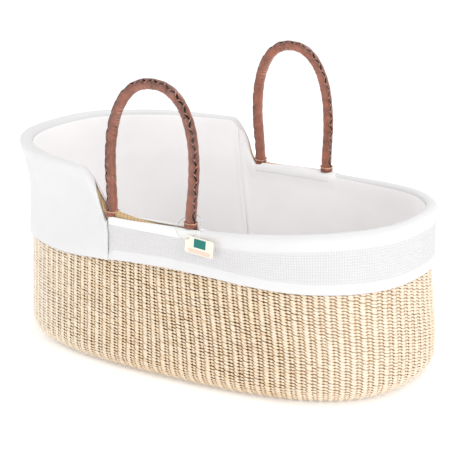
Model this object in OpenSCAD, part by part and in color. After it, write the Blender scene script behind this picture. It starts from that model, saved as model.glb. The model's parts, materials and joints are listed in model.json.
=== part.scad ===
// Moses basket: a woven grass bassinet with a cotton liner, a mattress and two laced leather handles.
// Millimetres. X runs from the hooded head end (-X) to the foot end (+X), Y runs across, and Z is up.
// The origin is the middle of the underside, on the floor.

/* [Basket] */
// Length of the woven body at its fullest level
basket_len = 803; // [780:1:820]
// Width of the woven body at its fullest level
basket_w = 466; // [450:2:490]
// Height of the rim along the two sides
side_h = 292.5; // [280:0.5:300]
// Height of the rim at the middle of the hood
hood_h = 374.5; // [360:0.5:380]
// How much the rim climbs towards the foot end
foot_rise = 12; // [0:1:16]
// Thickness of the woven wall and of the woven floor
weave_t = 7; // [6:0.5:8]
// Radius of the rounded lower edge
edge_r = 36; // [28:1:38]
// Diameter of the wrapped border on the rim
border_d = 11; // [10:0.5:12]

/* [Liner] */
// Thickness of the waffle cotton with its wadding
cloth_t = 3; // [2:0.5:3]
// Height of the outer flap's hem above the floor
hem_h = 202; // [190:1:210]
// Depth of the smooth binding along each handle slot
binding_h = 14; // [10:1:16]

/* [Mattress] */
// Thickness of the foam
foam_t = 35; // [30:1:40]
// Gap between the mattress and the lower edge of the woven wall
mattress_inset = 36; // [34:1:44]
// Thickness of the fitted sheet
sheet_t = 1; // [0.8:0.1:1.2]

/* [Handles] */
// Distance between the two legs of the front handle, middle to middle
front_span = 168; // [150:1:172]
// Distance between the two legs of the rear handle, middle to middle
rear_span = 150; // [146:1:160]
// Height of a handle's middle line above its hinge line
handle_h = 230; // [200:1:240]
// Diameter of a handle over its leather
handle_d = 20; // [18:0.5:20]
// Angle by which a handle at rest leans towards the middle of the basket
handle_lean = 2.5; // [0:0.5:5]

/* [Tag] */
// Width of the hang tag
tag_w = 58; // [50:1:70]
// Height of the hang tag
tag_h = 30; // [28:1:44]
// Thickness of the hang tag
tag_t = 0.6; // [0.6:0.1:1]

/* [Hidden] */
$fn = 48;

grass = [0.86, 0.74, 0.52];
cotton = [0.95, 0.95, 0.95];
tan_leather = [0.55, 0.33, 0.27];
dark_leather = [0.42, 0.25, 0.20];

gap = 0.8;              // play between cloth and weave
touch = 0.2;            // play between pieces that rest on each other
bulge_z = 60;           // level of the fullest outline
straight_z = 200;       // level above which the bulge has gone
flare_z = 290;          // level where the head end starts to lean out
flare = 12.5;           // how far the head end leans out at the top of the hood
flare_w = 9.5;          // how far the hood's two sides lean out at its top
flare_h = 85;           // height over which it does so
hood_crown = 1;         // how much higher the hood is in its middle than at its ends
hood_x = -275;          // middle of the hood
step_head = -143;       // top of the step between hood and side
step_foot = -90;        // bottom of that step
step_bend = 0.8;        // below 1, the step is steepest near its bottom
step_skew = 8;          // how far the front step stands towards the head, and the rear one away from it
border_r = border_d / 2;
mid = -weave_t / 2;     // offset of the wall's mid-surface from its outer face
seam_out = -87;         // vertical seam between the two outer flaps
seam_in = -125;         // vertical seam between the two inner panels
slot_foot = 98;         // foot end of each handle slot
slot_head = -124;       // head end of each handle slot, part of the way up the step
slot_ramp = 12;         // length over which a slot opens
front_x = -9.5;         // middle of the front handle
rear_x = 2.5;           // middle of the rear handle
anchor_w = 14;          // width of a handle's anchor strap
anchor_t = 2;           // thickness of an anchor strap
anchor_leg = 0.4;       // how far a strap runs down below the border's middle

// ---- Outline of the wall's outer face ----
// Smooth rise from 0 to 1
function smooth(u) = let (c = max(0, min(1, u))) c * c * (3 - 2 * c);
function mix(a, b, u) = a + (b - a) * u;
function spow(v, e) = sign(v) * pow(abs(v), e);
function rev(v) = [for (i = [len(v) - 1 : -1 : 0]) v[i]];

function bulge(z) = 1 - smooth((z - bulge_z) / (straight_z - bulge_z));
function flare_at(z) = pow(max(0, (z - flare_z) / flare_h), 1.4);
function head_end(z) = -(basket_len / 2 - 2.5 + 2.5 * bulge(z) + flare * flare_at(z));
function foot_end(z) = basket_len / 2 - 9 + 9 * bulge(z);
function half_len(z) = (foot_end(z) - head_end(z)) / 2;
function mid_x(z) = (foot_end(z) + head_end(z)) / 2;
function half_w(z) = basket_w / 2 + 3.5 * (z - bulge_z) / 235 + flare_w * flare_at(z);
// Exponent of the superelliptic outline: squarer at the floor than at the rim
function order(z) = 2.71 - 0.28 * min(1, z / 295);
function outline(t, z) = let (e = 2 / order(z))
  [mid_x(z) + half_len(z) * spow(cos(t), e), half_w(z) * spow(sin(t), e)];
function outward(t, z) = let (
    e = 2 - 2 / order(z),
    v = [spow(cos(t), e) / half_len(z), spow(sin(t), e) / half_w(z)])
  v / norm(v);
// Point at offset off from the wall's outer face, on station t, at height z
function at(t, off, z) = let (p = outline(t, z) + off * outward(t, z)) [p.x, p.y, z];
// Station whose outline passes x on the +Y side
function station(x) = acos(spow((x - mid_x(side_h)) / half_len(side_h), order(side_h) / 2));

// ---- Height of the rim ----
function low_rim(x) = side_h + foot_rise * smooth((x - 150) / 250);
function hood_rim(x) = hood_h - hood_crown * pow((x - hood_x) / 135, 2);
function along_step(x) = max(0, min(1, (step_foot - x) / (step_foot - step_head)));
function rim_at(x) = mix(low_rim(x), hood_rim(x), smooth(pow(along_step(x), step_bend)));
// The rim's features stand a little askew: x_of gives the place along the rim that station t has
function shift(x) = step_skew * smooth((40 - x) / 100);
function x_of(t) = let (p = outline(t, side_h)) p.x - shift(p.x) * p.y / half_w(side_h);
function rim(t) = rim_at(x_of(t));
// Sections are cut upright, so round sections grow taller where the rim is steep
function rim_slope(x) = (rim_at(x + 2) - rim_at(x - 2)) / 4;
function steep(t) = let (s = rim_slope(x_of(t)) * outward(t, side_h).y) sqrt(1 + s * s);
function rim_mid(t) = rim(t) - border_r * steep(t);
// Point at distance r and angle a round the border's middle; 0 is outwards and 90 is up
function round_rim(t, r, a) = at(t, mid + r * cos(a), rim_mid(t) + r * steep(t) * sin(a));

// ---- Stations ----
// Stations of place x along the rear side and along the front side
function rear(x) = station(x + shift(x));
function front(x) = -station(x - shift(x));
// Every place where a piece starts or ends is one of them, so that neighbours share their flats
side_x = [-143, -137, -131, seam_in - touch, seam_in + touch, -119, -113, -107, -101, -95, -90,
  seam_out - touch, seam_out + touch, seam_out + 2, -70, -40, -10, 20, 50, 78, 92,
  slot_foot - 1, 104, 110, 140];
last_x = side_x[len(side_x) - 1];
end_steps = 11;
turn_steps = [for (i = [1 : 2 * end_steps - 1]) i / (2 * end_steps)];
foot_turn = [for (u = turn_steps) mix(front(last_x), rear(last_x), u)];
head_turn = [for (u = turn_steps) mix(rear(side_x[0]), 360 + front(side_x[0]), u)];
function from(x) = concat([x], [for (s = side_x) if (s > x + 0.1) s]);
function up_to(x) = concat([for (s = side_x) if (s < x - 0.1) s], [x]);
// Stations from x on the front side, round the foot end, to x on the rear side
function foot_stations(x) = let (s = from(x))
  concat([for (u = s) front(u)], foot_turn, [for (u = rev(s)) rear(u)]);
// Stations from x on the rear side, round the head end, to x on the front side
function head_stations(x) = let (s = up_to(x))
  concat([for (u = rev(s)) rear(u)], head_turn, [for (u = s) 360 + front(u)]);
loop = concat(foot_stations(side_x[0]), head_turn);

// ---- Solids from a row of sections ----
// Each section is a closed outline with the same even number of points.
// ring joins the last section to the first.
// The caps run in strips from point j to its opposite number, which suits bent sections too.
module loft(sections, ring = false) {
  m = len(sections[0]);
  n = len(sections);
  last = ring ? n - 1 : n - 2;
  sides = [for (i = [0 : last]) for (j = [0 : m - 1]) let (
      a = i * m + j,
      b = i * m + (j + 1) % m,
      c = ((i + 1) % n) * m + (j + 1) % m,
      d = ((i + 1) % n) * m + j) each [[a, b, c], [a, c, d]]];
  caps = ring ? [] : [for (j = [0 : m / 2 - 2]) let (k = m - 1 - j, e = (n - 1) * m) each [
      [j, k, k - 1], [j, k - 1, j + 1], [e + j, e + k - 1, e + k], [e + j, e + j + 1, e + k - 1]]];
  polyhedron(points = [for (s = sections) each s], faces = concat(sides, caps), convexity = 10);
}

// Flat slab whose outline is the wall's outer face moved in by inset
module slab(inset, level, z, t) {
  translate([0, 0, z]) linear_extrude(t)
    polygon([for (s = loop) let (p = at(s, -inset, level)) [p.x, p.y]]);
}

// ---- Woven body ----
function wall_top(t) = rim(t) - border_d * steep(t) - touch;
function wall_levels(t) = [for (f = [0.12, 0.3, 0.55, 0.8, 1]) mix(edge_r, wall_top(t), f)];
// The wall's face at offset off, from the rounded lower edge up to the border
function wall_face(t, off, turns) = let (r = edge_r + off) concat(
  [for (a = turns) at(t, r * sin(a) - edge_r, edge_r - r * cos(a))],
  [for (z = wall_levels(t)) at(t, off, z)]);
function wall_section(t) = let (turns = [0, 30, 60, 90])
  concat(wall_face(t, 0, turns), rev(wall_face(t, -weave_t, turns)));

module base_weave() {
  color(grass) slab(edge_r + touch, 0, 0, weave_t);
}

module wall_weave() {
  color(grass) loft([for (t = loop) wall_section(t)], true);
}

module rim_border() {
  color(grass) loft([for (t = loop) [for (a = [0 : 45 : 315]) round_rim(t, border_r, a)]], true);
}

// ---- Liner ----
// 0 where the liner wraps the border, 1 where a handle slot leaves it bare
function slot(t) = smooth((slot_foot + slot_ramp - x_of(t)) / slot_ramp)
  * smooth((x_of(t) - slot_head) / slot_ramp);
function roll_r(t) = mix(border_r + gap, border_r + anchor_t + 0.9, slot(t));
open_angle = 35;        // how far a slot's edges stay down from the border's top
function inner_edge(t) = mix(92, 180 - open_angle, slot(t));
function foot_edge(t) = mix(88, open_angle, slot(t));
function head_edge(t) = mix(88, -20, slot(t));

// Cloth on the inside, from the floor up and over the border.
// off is the distance towards the cloth's other face.
function lining(t, off) = concat(
  wall_face(t, -weave_t - gap - off, [0, 30, 60, 90]),
  [for (f = [0, 0.33, 0.67, 1]) round_rim(t, roll_r(t) + off, mix(180, inner_edge(t), f))]);
function lining_section(t) = concat(lining(t, 0), rev(lining(t, cloth_t)));

module liner_floor() {
  color(cotton) slab(edge_r + touch, weave_t + gap, weave_t + gap, cloth_t);
}

module liner_head_panel() {
  color(cotton) loft([for (t = head_stations(seam_in - touch)) lining_section(t)]);
}

module liner_side_panel() {
  color(cotton) loft([for (t = foot_stations(seam_in + touch)) lining_section(t)]);
}

function hem(t) = hem_h + 17 * pow(cos(min(90, abs(x_of(t) - 35) / 3)), 2);
function flap(t, edge, off) = concat(
  [for (f = [0, 0.5, 1]) round_rim(t, roll_r(t) + off, mix(edge, min(edge, 0), f))],
  [at(t, mid + roll_r(t) + off - 0.4, mix(rim_mid(t), hem(t), 0.4)), at(t, gap + 0.6 + off, hem(t) + 2)]);
function flap_section(t, edge) = concat(rev(flap(t, edge, cloth_t)), flap(t, edge, 0));

module head_flap() {
  color(cotton) loft([for (t = head_stations(seam_out - touch)) flap_section(t, head_edge(t))]);
}

module foot_flap() {
  color(cotton) loft([for (t = foot_stations(seam_out + touch)) flap_section(t, foot_edge(t))]);
}

module hem_elastic() {
  band = [[0.7, 5], [1.2, 5], [1.2, 11], [0.7, 11]];
  color("white") loft([for (t = loop) [for (p = band) at(t, p.x, hem(t) + p.y)]], true);
}

// Binding over the edge of a slot; side is 1 for the outer edge and -1 for the inner one
function binding_section(t, side) = let (
    r = roll_r(t),
    a = r + cloth_t + touch,
    b = a + 1.2,
    edge = open_angle,
    drop = rim_mid(t) - binding_h + 6) [
  at(t, mid + side * a, drop),
  at(t, mid + side * a, rim_mid(t)),
  side_round(t, a, edge / 2, side),
  side_round(t, a, edge + 1, side),
  side_round(t, r, edge + 3, side),
  side_round(t, r, edge + 11, side),
  side_round(t, b, edge + 7, side),
  side_round(t, b, edge / 2 + 3, side),
  at(t, mid + side * b, rim_mid(t)),
  at(t, mid + side * b, drop)];
function side_round(t, r, a, side) = round_rim(t, r, side > 0 ? a : 180 - a);
binding_x = [for (s = side_x) if (s > seam_out + 1 && s < slot_foot) s];

// Bindings of both edges of a slot, at stations that fall from one to the next
module slot_bindings(stations) {
  color("white") loft([for (t = rev(stations)) binding_section(t, -1)]);
  color("white") loft([for (t = stations) binding_section(t, 1)]);
}

module front_slot_binding() {
  slot_bindings([for (x = rev(binding_x)) front(x)]);
}

module rear_slot_binding() {
  slot_bindings([for (x = binding_x) rear(x)]);
}

// ---- Mattress ----
sheet_z = weave_t + gap + cloth_t + 0.4;
module mattress_foam() {
  color("white") slab(mattress_inset + sheet_t + touch, bulge_z, sheet_z + sheet_t + touch, foam_t);
}

module fitted_sheet() {
  color("white") difference() {
    slab(mattress_inset, bulge_z, sheet_z, foam_t + 2 * sheet_t + 2 * touch);
    slab(mattress_inset + sheet_t, bulge_z, sheet_z + sheet_t, foam_t + 2 * touch);
    slab(mattress_inset + 30, bulge_z, sheet_z - 1, sheet_t + 2);
  }
}

// ---- Handles, modelled on the +Y side; span is the distance between the two legs ----
boot_r = handle_d / 2 + 1.5;
boot_h = 4;
core_r = handle_d / 2 - 2.2;
leather_sides = 12;
lace_half = 12;         // half the angle left open for the lacing
leather_in = (core_r + 0.1) / cos((180 - lace_half) / leather_sides);
leather_out = handle_d / 2;
// Anchor straps hug the border, and each handle's hinge line lies just above them
pivot_z = side_h + anchor_t + 1 + boot_r;
pivot_y = at(station(78), mid, side_h).y;
arch_z = 86;            // height above the hinge line where a handle is widest
arch_out = 4.5;         // how much wider it is there on each side than at its legs
leg_steps = 10;
arch_steps = 22;
// Middle line of a handle in its own plane, from leg to leg
arch_bend = 2 / 2.3;
function leg_point(span, f) = [span / 2 + arch_out * smooth(f), arch_z * f];
function arch_point(span, a) = [
  (span / 2 + arch_out) * spow(cos(a), arch_bend),
  arch_z + (handle_h - arch_z) * spow(sin(a), arch_bend)];
function handle_line(span) = concat(
  [for (i = [0 : leg_steps - 1]) leg_point(span, i / leg_steps)],
  [for (i = [0 : arch_steps]) arch_point(span, 180 * i / arch_steps)],
  [for (i = [leg_steps - 1 : -1 : 0]) let (p = leg_point(span, i / leg_steps)) [-p.x, p.y]]);
function handle_dir(line, i) = let (
    n = len(line) - 1,
    end = [0, i == 0 ? 1 : -1],
    d = i == 0 || i == n ? end : line[i + 1] - line[i - 1])
  d / norm(d);
// Section of a handle at point i; profile points are [away from the arch's middle, across]
function handle_section(line, i, profile) = let (p = line[i], d = handle_dir(line, i))
  [for (q = profile) [p.x + q.x * d.y, q.y, p.y - q.x * d.x]];
// Sweeps a profile along the middle line, leaving out skip points at each end
module handle_sweep(span, profile, skip = 0) {
  line = handle_line(span);
  loft([for (i = [len(line) - 1 - skip : -1 : skip]) handle_section(line, i, profile)]);
}
function leather_turn(i) = mix(lace_half, 360 - lace_half, i / leather_sides);
function leather_ring(r) = [for (i = [0 : leather_sides]) let (a = leather_turn(i))
  [r * cos(a), r * sin(a)]];

// Places a handle on its hinge line
module on_hinge() {
  translate([0, pivot_y, pivot_z]) rotate([handle_lean, 0, 0]) children();
}
module each_leg(span) {
  for (side = [-1, 1]) translate([side * span / 2, 0, 0]) children();
}

module handle_core(span) {
  color(grass) on_hinge() {
    handle_sweep(span, [for (a = [0 : 45 : 315]) [core_r * cos(a), core_r * sin(a)]]);
    each_leg(span) intersection() {
      sphere(core_r * cos(22.5));
      translate([0, 0, 1 - core_r]) cube(2 * core_r, center = true);
    }
  }
}

// Leather strip wrapped round the core; its two edges face outwards, where the lacing joins them
module handle_leather(span) {
  profile = concat(leather_ring(leather_out), rev(leather_ring(leather_in)));
  color(tan_leather) on_hinge() handle_sweep(span, profile);
}

module handle_lacing(span) {
  low = leather_out + touch;
  high = leather_out + 1.4;
  profile = [[low, -3], [high, -1.6], [high, 1.6], [low, 3]];
  color(dark_leather) on_hinge() handle_sweep(span, profile, 2);
}

module boot_profile() {
  difference() {
    union() {
      circle(boot_r);
      square([boot_r, boot_h]);
    }
    translate([-boot_r, -boot_r]) square([boot_r, 3 * boot_r]);
    circle(core_r + 0.3);
    translate([0, -0.1]) square([leather_out + 0.5, 2 * boot_r]);
  }
}

module handle_boots(span) {
  color(dark_leather) on_hinge() each_leg(span) rotate_extrude() boot_profile();
}

module handle_bands(span) {
  color(grass) on_hinge() each_leg(span) translate([0, 0, boot_h - 2.5])
    rotate_extrude() translate([boot_r + 0.1, 0]) square([0.8, 1.6]);
}

// Straps over the border under the legs, a little nearer each other than the legs at the head side
module handle_anchors(middle, span) {
  r = border_r + 0.4;
  for (x = [middle - span / 2 + 3, middle + span / 2]) {
    t = station(x);
    v = outward(t, side_h);
    color(dark_leather) translate([x, at(t, mid, side_h).y, side_h - border_r])
      rotate([0, 0, -atan2(v.x, v.y)]) rotate([90, 0, 90])
      linear_extrude(anchor_w, center = true) difference() {
        circle(r + anchor_t);
        circle(r);
        translate([-2 * r, -2 * r - anchor_leg]) square([4 * r, 2 * r]);
      }
  }
}

module front_handle() translate([front_x, 0, 0]) mirror([0, 1, 0]) children();
module front_handle_anchors() mirror([0, 1, 0]) handle_anchors(front_x, front_span);
module rear_handle_anchors() handle_anchors(rear_x, rear_span);
module front_handle_core() front_handle() handle_core(front_span);
module rear_handle_core() translate([rear_x, 0, 0]) handle_core(rear_span);
module front_handle_leather() front_handle() handle_leather(front_span);
module rear_handle_leather() translate([rear_x, 0, 0]) handle_leather(rear_span);
module front_handle_lacing() front_handle() handle_lacing(front_span);
module rear_handle_lacing() translate([rear_x, 0, 0]) handle_lacing(rear_span);
module front_handle_boots() front_handle() handle_boots(front_span);
module rear_handle_boots() translate([rear_x, 0, 0]) handle_boots(rear_span);
module front_handle_bands() front_handle() handle_bands(front_span);
module rear_handle_bands() translate([rear_x, 0, 0]) handle_bands(rear_span);

// ---- Hang tag on its nylon loop, at the foot leg of the front handle ----
tag_leg = [front_x + front_span / 2, -pivot_y, pivot_z];
loop_d = 1.2;
// Route of the loop round the leg, from the tag's hole up behind the leg and back
loop_route = [
  [6, -18, -22.8], [11, -16.6, -21], [16, -16, -17.5], [19.5, -15.3, -13.5], [21.8, -13, -8.5],
  [22, -7, -4], [20, 2, 1], [15, 10, 5.5], [8, 14, 8.5], [0, 15, 9.5],
  [-8, 14, 8.5], [-15, 10, 5.5], [-20, 2, 1], [-22, -7, -4], [-21.5, -14, -9],
  [-17.5, -17.5, -15.5], [-8.5, -19.2, -21], [1, -19.4, -22.9]];
loop_n = len(loop_route);
// Point on the closed smooth curve through the route (Catmull-Rom)
function loop_point(u) = let (
    i = floor(u),
    f = u - i,
    p = [for (k = [-1 : 2]) loop_route[(i + k + loop_n) % loop_n]])
  0.5 * (2 * p[1] + (p[2] - p[0]) * f
    + (2 * p[0] - 5 * p[1] + 4 * p[2] - p[3]) * f * f
    + (3 * p[1] - p[0] - 3 * p[2] + p[3]) * f * f * f);
function loop_section(u) = let (
    p = loop_point(u),
    d = loop_point(u + 0.01) - loop_point(u - 0.01 + loop_n),
    side = cross(d, [0, -0.7, 0.7]),
    v = side / norm(side),
    c = cross(v, d),
    w = c / norm(c))
  [for (a = [0 : 60 : 300]) tag_leg + p + loop_d / 2 * (v * cos(a) + w * sin(a))];

module tag_loop() {
  color([0.7, 0.72, 0.66]) loft([for (i = [0 : 2 * loop_n - 1]) loop_section(i / 2)], true);
}

tag_tilt = 5;           // the tag hangs a little askew
module hang_tag() {
  color([0.97, 0.92, 0.84]) translate(tag_leg + loop_route[0]) rotate([90, tag_tilt, 0]) difference() {
    translate([-5, -tag_h + 5, -tag_t / 2]) linear_extrude(tag_t) card();
    cylinder(r = 3, h = 4 * tag_t, center = true);
  }
}
// Card with cut corners
module card() {
  cut = 3;
  polygon([
    [cut, 0], [tag_w - cut, 0], [tag_w, cut], [tag_w, tag_h - cut],
    [tag_w - cut, tag_h], [cut, tag_h], [0, tag_h - cut], [0, cut]]);
}

base_weave();
wall_weave();
rim_border();
liner_floor();
liner_head_panel();
liner_side_panel();
head_flap();
foot_flap();
hem_elastic();
front_slot_binding();
rear_slot_binding();
front_handle_anchors();
rear_handle_anchors();
mattress_foam();
fitted_sheet();
front_handle_core();
front_handle_leather();
front_handle_lacing();
front_handle_boots();
front_handle_bands();
rear_handle_core();
rear_handle_leather();
rear_handle_lacing();
rear_handle_boots();
rear_handle_bands();
tag_loop();
hang_tag();
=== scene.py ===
import json
import math

import bpy
import numpy as np
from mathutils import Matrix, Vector


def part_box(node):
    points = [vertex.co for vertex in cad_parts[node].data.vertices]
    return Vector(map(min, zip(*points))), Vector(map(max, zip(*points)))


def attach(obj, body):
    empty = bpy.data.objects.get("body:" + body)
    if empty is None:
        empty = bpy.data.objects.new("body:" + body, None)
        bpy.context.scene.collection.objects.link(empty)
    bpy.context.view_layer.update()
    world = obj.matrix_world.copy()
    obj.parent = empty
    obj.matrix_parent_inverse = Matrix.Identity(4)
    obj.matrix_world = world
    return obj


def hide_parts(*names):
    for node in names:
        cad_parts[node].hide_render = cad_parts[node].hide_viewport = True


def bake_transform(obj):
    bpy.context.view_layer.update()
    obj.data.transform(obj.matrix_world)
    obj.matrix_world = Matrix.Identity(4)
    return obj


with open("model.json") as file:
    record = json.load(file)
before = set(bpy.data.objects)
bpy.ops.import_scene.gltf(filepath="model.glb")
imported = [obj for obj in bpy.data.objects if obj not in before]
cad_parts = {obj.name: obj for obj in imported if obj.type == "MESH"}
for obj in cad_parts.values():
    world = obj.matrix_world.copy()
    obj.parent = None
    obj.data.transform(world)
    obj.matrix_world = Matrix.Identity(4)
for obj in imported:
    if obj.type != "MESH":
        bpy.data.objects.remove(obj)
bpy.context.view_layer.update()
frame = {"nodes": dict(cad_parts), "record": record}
rng = np.random.default_rng(7)
scene = bpy.context.scene
pi = math.pi

def placed(name, data):
    """A new object in the scene."""
    o = bpy.data.objects.new(name, data)
    scene.collection.objects.link(o)
    return o

def constants(node, **values):
    """Sets a node's own sockets, named with _ for a space."""
    for k, v in values.items():
        node.inputs[k.replace("_", " ")].default_value = v

# ---------------------------------------------------------------- camera
AZ, EL, DIST = 32.96, 16.55, 3.1325
FOCAL_PX, IMAGE_PX, SENSOR = 1682.7, 460, 36
target = Vector((0.0048, 0.0, 0.2242))
a, e = math.radians(AZ), math.radians(EL)
eye = target + DIST * Vector((math.sin(a) * math.cos(e), -math.cos(a) * math.cos(e), math.sin(e)))
cam = placed("camera", bpy.data.cameras.new("camera"))
cam.data.sensor_width = SENSOR
cam.data.lens = SENSOR * FOCAL_PX / IMAGE_PX
cam.location = eye
cam.rotation_euler = (target - eye).to_track_quat("-Z", "Y").to_euler()
scene.camera = cam

# ---------------------------------------------------------------- stage and light
def lamp(name, loc, size, power, color=(1, 1, 1), aim=(0, 0, 0.2)):
    """A round area light that faces the point aim."""
    d = bpy.data.lights.new(name, "AREA")
    d.shape, d.size, d.energy, d.color = "DISK", size, power, color
    o = placed(name, d)
    o.location = loc
    o.rotation_euler = (Vector(aim) - Vector(loc)).to_track_quat("-Z", "Y").to_euler()

lamp("key", (-2.7, -1.4, 2.5), 1.6, 22, (1.0, 0.99, 0.98))
lamp("glint", (-0.7, -2.9, 0.62), 0.9, 9, (1.0, 0.97, 0.97), (0, 0, 0.42))
lamp("fill", (3.3, -1.1, 1.4), 1.8, 42, (1.0, 0.99, 0.98))
lamp("back", (0.6, 2.4, 2.8), 2.2, 26)
world = bpy.data.worlds.new("studio")
world.use_nodes = True
constants(world.node_tree.nodes["Background"], Color=(1, 1, 1, 1), Strength=0.82)
scene.world = world
scene.view_settings.view_transform = "Standard"

# ---------------------------------------------------------------- mesh helpers
def build(name, verts, quads, uv, tint, mat, body="basket", replaces=(), slot=None, smooth=True):
    """A mesh from vertices, quads (n x 4), a uv for each quad corner and a colour for each vertex."""
    me = bpy.data.meshes.new(name)
    verts = np.asarray(verts, np.float32).reshape(-1, 3)
    quads = np.asarray(quads, np.int32).reshape(-1, 4)
    me.vertices.add(len(verts))
    me.vertices.foreach_set("co", verts.ravel())
    me.loops.add(quads.size)
    me.loops.foreach_set("vertex_index", quads.ravel())
    me.polygons.add(len(quads))
    me.polygons.foreach_set("loop_start", np.arange(0, quads.size, 4, dtype=np.int32))
    me.polygons.foreach_set("loop_total", np.full(len(quads), 4, np.int32))
    me.polygons.foreach_set("use_smooth", np.full(len(quads), smooth))
    me.update(calc_edges=True)
    if uv is not None:
        me.uv_layers.new(name="cloth").data.foreach_set("uv", np.asarray(uv, np.float32).ravel())
    if tint is not None:
        c = np.ones((len(verts), 4), np.float32)
        c[:, :3] = np.asarray(tint).reshape(-1, 3)
        me.color_attributes.new("tint", "FLOAT_COLOR", "POINT").data.foreach_set("color", c.ravel())
    o = placed(name, me)
    me.materials.append(mat)
    if body:
        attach(o, body)
    if replaces:
        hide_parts(*replaces)
    return o

def recoat(node, mat):
    """Gives a CAD node that stays in view its finish."""
    materials = frame["nodes"][node].data.materials
    materials.clear()
    materials.append(mat)

def patch(P, uv=None, wrap_u=False, wrap_v=False, flip=False):
    """Vertices, quads and corner uvs of a grid of points P (u, v, 3)."""
    nu, nv = P.shape[:2]
    I, J = np.meshgrid(np.arange(nu if wrap_u else nu - 1), np.arange(nv if wrap_v else nv - 1), indexing="ij")
    corners = [(I, J), (I + 1, J), (I + 1, J + 1), (I, J + 1)]
    if flip:
        corners = corners[::-1]
    quads = np.stack([(p % nu) * nv + q % nv for p, q in corners], -1).reshape(-1, 4)
    if uv is not None:
        uv = np.stack([uv[p, q] for p, q in corners], -2).reshape(-1, 2)
    return P.reshape(-1, 3), quads, uv

def grid_uv(u, v):
    """The uv of each point of a grid, from its values along u and v."""
    return np.stack(np.meshgrid(u, v, indexing="ij"), -1)

def strokes(P, flip=False):
    """Quads of many equal grids, P (n, u, v, 3)."""
    n, nu, nv = P.shape[:3]
    q = patch(P[0], flip=flip)[1]
    return (q[None] + (np.arange(n) * nu * nv)[:, None, None]).reshape(-1, 4)

# ---------------------------------------------------------------- materials
def nodes_of(name):
    """A new material, its node tree and its shader."""
    m = bpy.data.materials.new(name)
    m.use_nodes = True
    return m, m.node_tree, m.node_tree.nodes["Principled BSDF"]

def add(nt, kind, links=(), **values):
    """A node with its settings, and what its inputs are linked to."""
    n = nt.nodes.new(kind)
    for k, v in values.items():
        setattr(n, k, v)
    for key, source in dict(links).items():
        nt.links.new(source, n.inputs[key])
    return n

def tint_of(nt):
    return add(nt, "ShaderNodeAttribute", attribute_name="tint").outputs["Color"]

def math_node(nt, op, x, y=None):
    n = add(nt, "ShaderNodeMath", operation=op)
    for i, v in enumerate((x, y)):
        if v is None:
            continue
        if isinstance(v, (int, float)):
            n.inputs[i].default_value = v
        else:
            nt.links.new(v, n.inputs[i])
    return n.outputs[0]

def ramp(nt, source, stops):
    n = add(nt, "ShaderNodeValToRGB", {0: source})
    el = n.color_ramp.elements
    while len(el) < len(stops):
        el.new(0.5)
    for e_, (p, c) in zip(el, stops):
        e_.position, e_.color = p, (*c, 1)
    return n.outputs[0]

def mix_rgb(nt, mode, fac, x, y):
    n = add(nt, "ShaderNodeMix", data_type="RGBA", blend_type=mode)
    for key, v in ((0, fac), (6, x), (7, y)):
        if isinstance(v, (int, float)):
            n.inputs[key].default_value = v
        elif isinstance(v, tuple):
            n.inputs[key].default_value = (*v, 1)
        else:
            nt.links.new(v, n.inputs[key])
    return n.outputs[2]

def bump(nt, bsdf, height, distance, strength, under=None):
    """A bump over the bump under, linked to the shader if one is given."""
    n = add(nt, "ShaderNodeBump", {"Height": height})
    constants(n, Strength=strength, Distance=distance)
    if under is not None:
        nt.links.new(under, n.inputs["Normal"])
    if bsdf is not None:
        nt.links.new(n.outputs[0], bsdf.inputs["Normal"])
    return n.outputs[0]

def uv_scaled(nt, sx, sy):
    """The mesh's uv, in metres, times a scale."""
    t = add(nt, "ShaderNodeUVMap", uv_map="cloth")
    m = add(nt, "ShaderNodeMapping", {0: t.outputs[0]})
    constants(m, Scale=(sx, sy, 1))
    return m.outputs[0]

def noise(nt, vector, scale, detail):
    n = add(nt, "ShaderNodeTexNoise", {"Vector": vector})
    constants(n, Scale=scale, Detail=detail, Roughness=0.55)
    return n.outputs["Fac"]

def grass_material(name):
    """Dried grass: a colour for each strand, with fine fibres along it. uv is in metres, u along the strand."""
    m, nt, b = nodes_of(name)
    tint = tint_of(nt)
    fine = noise(nt, uv_scaled(nt, 60, 2600), 1.0, 3)
    broad = noise(nt, uv_scaled(nt, 25, 420), 1.0, 2)
    streak = ramp(nt, fine, [(0.3, (0.76, 0.69, 0.58)), (0.62, (1.0, 1.0, 1.0))])
    patchy = ramp(nt, broad, [(0.25, (0.92, 0.87, 0.77)), (0.65, (1.0, 1.0, 1.0))])
    c = mix_rgb(nt, "MULTIPLY", 0.6, tint, streak)
    c = mix_rgb(nt, "MULTIPLY", 0.6, c, patchy)
    nt.links.new(c, b.inputs["Base Color"])
    constants(b, Roughness=0.52, Specular_IOR_Level=0.35)
    bump(nt, b, fine, 0.0006, 0.6)
    return m

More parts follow.
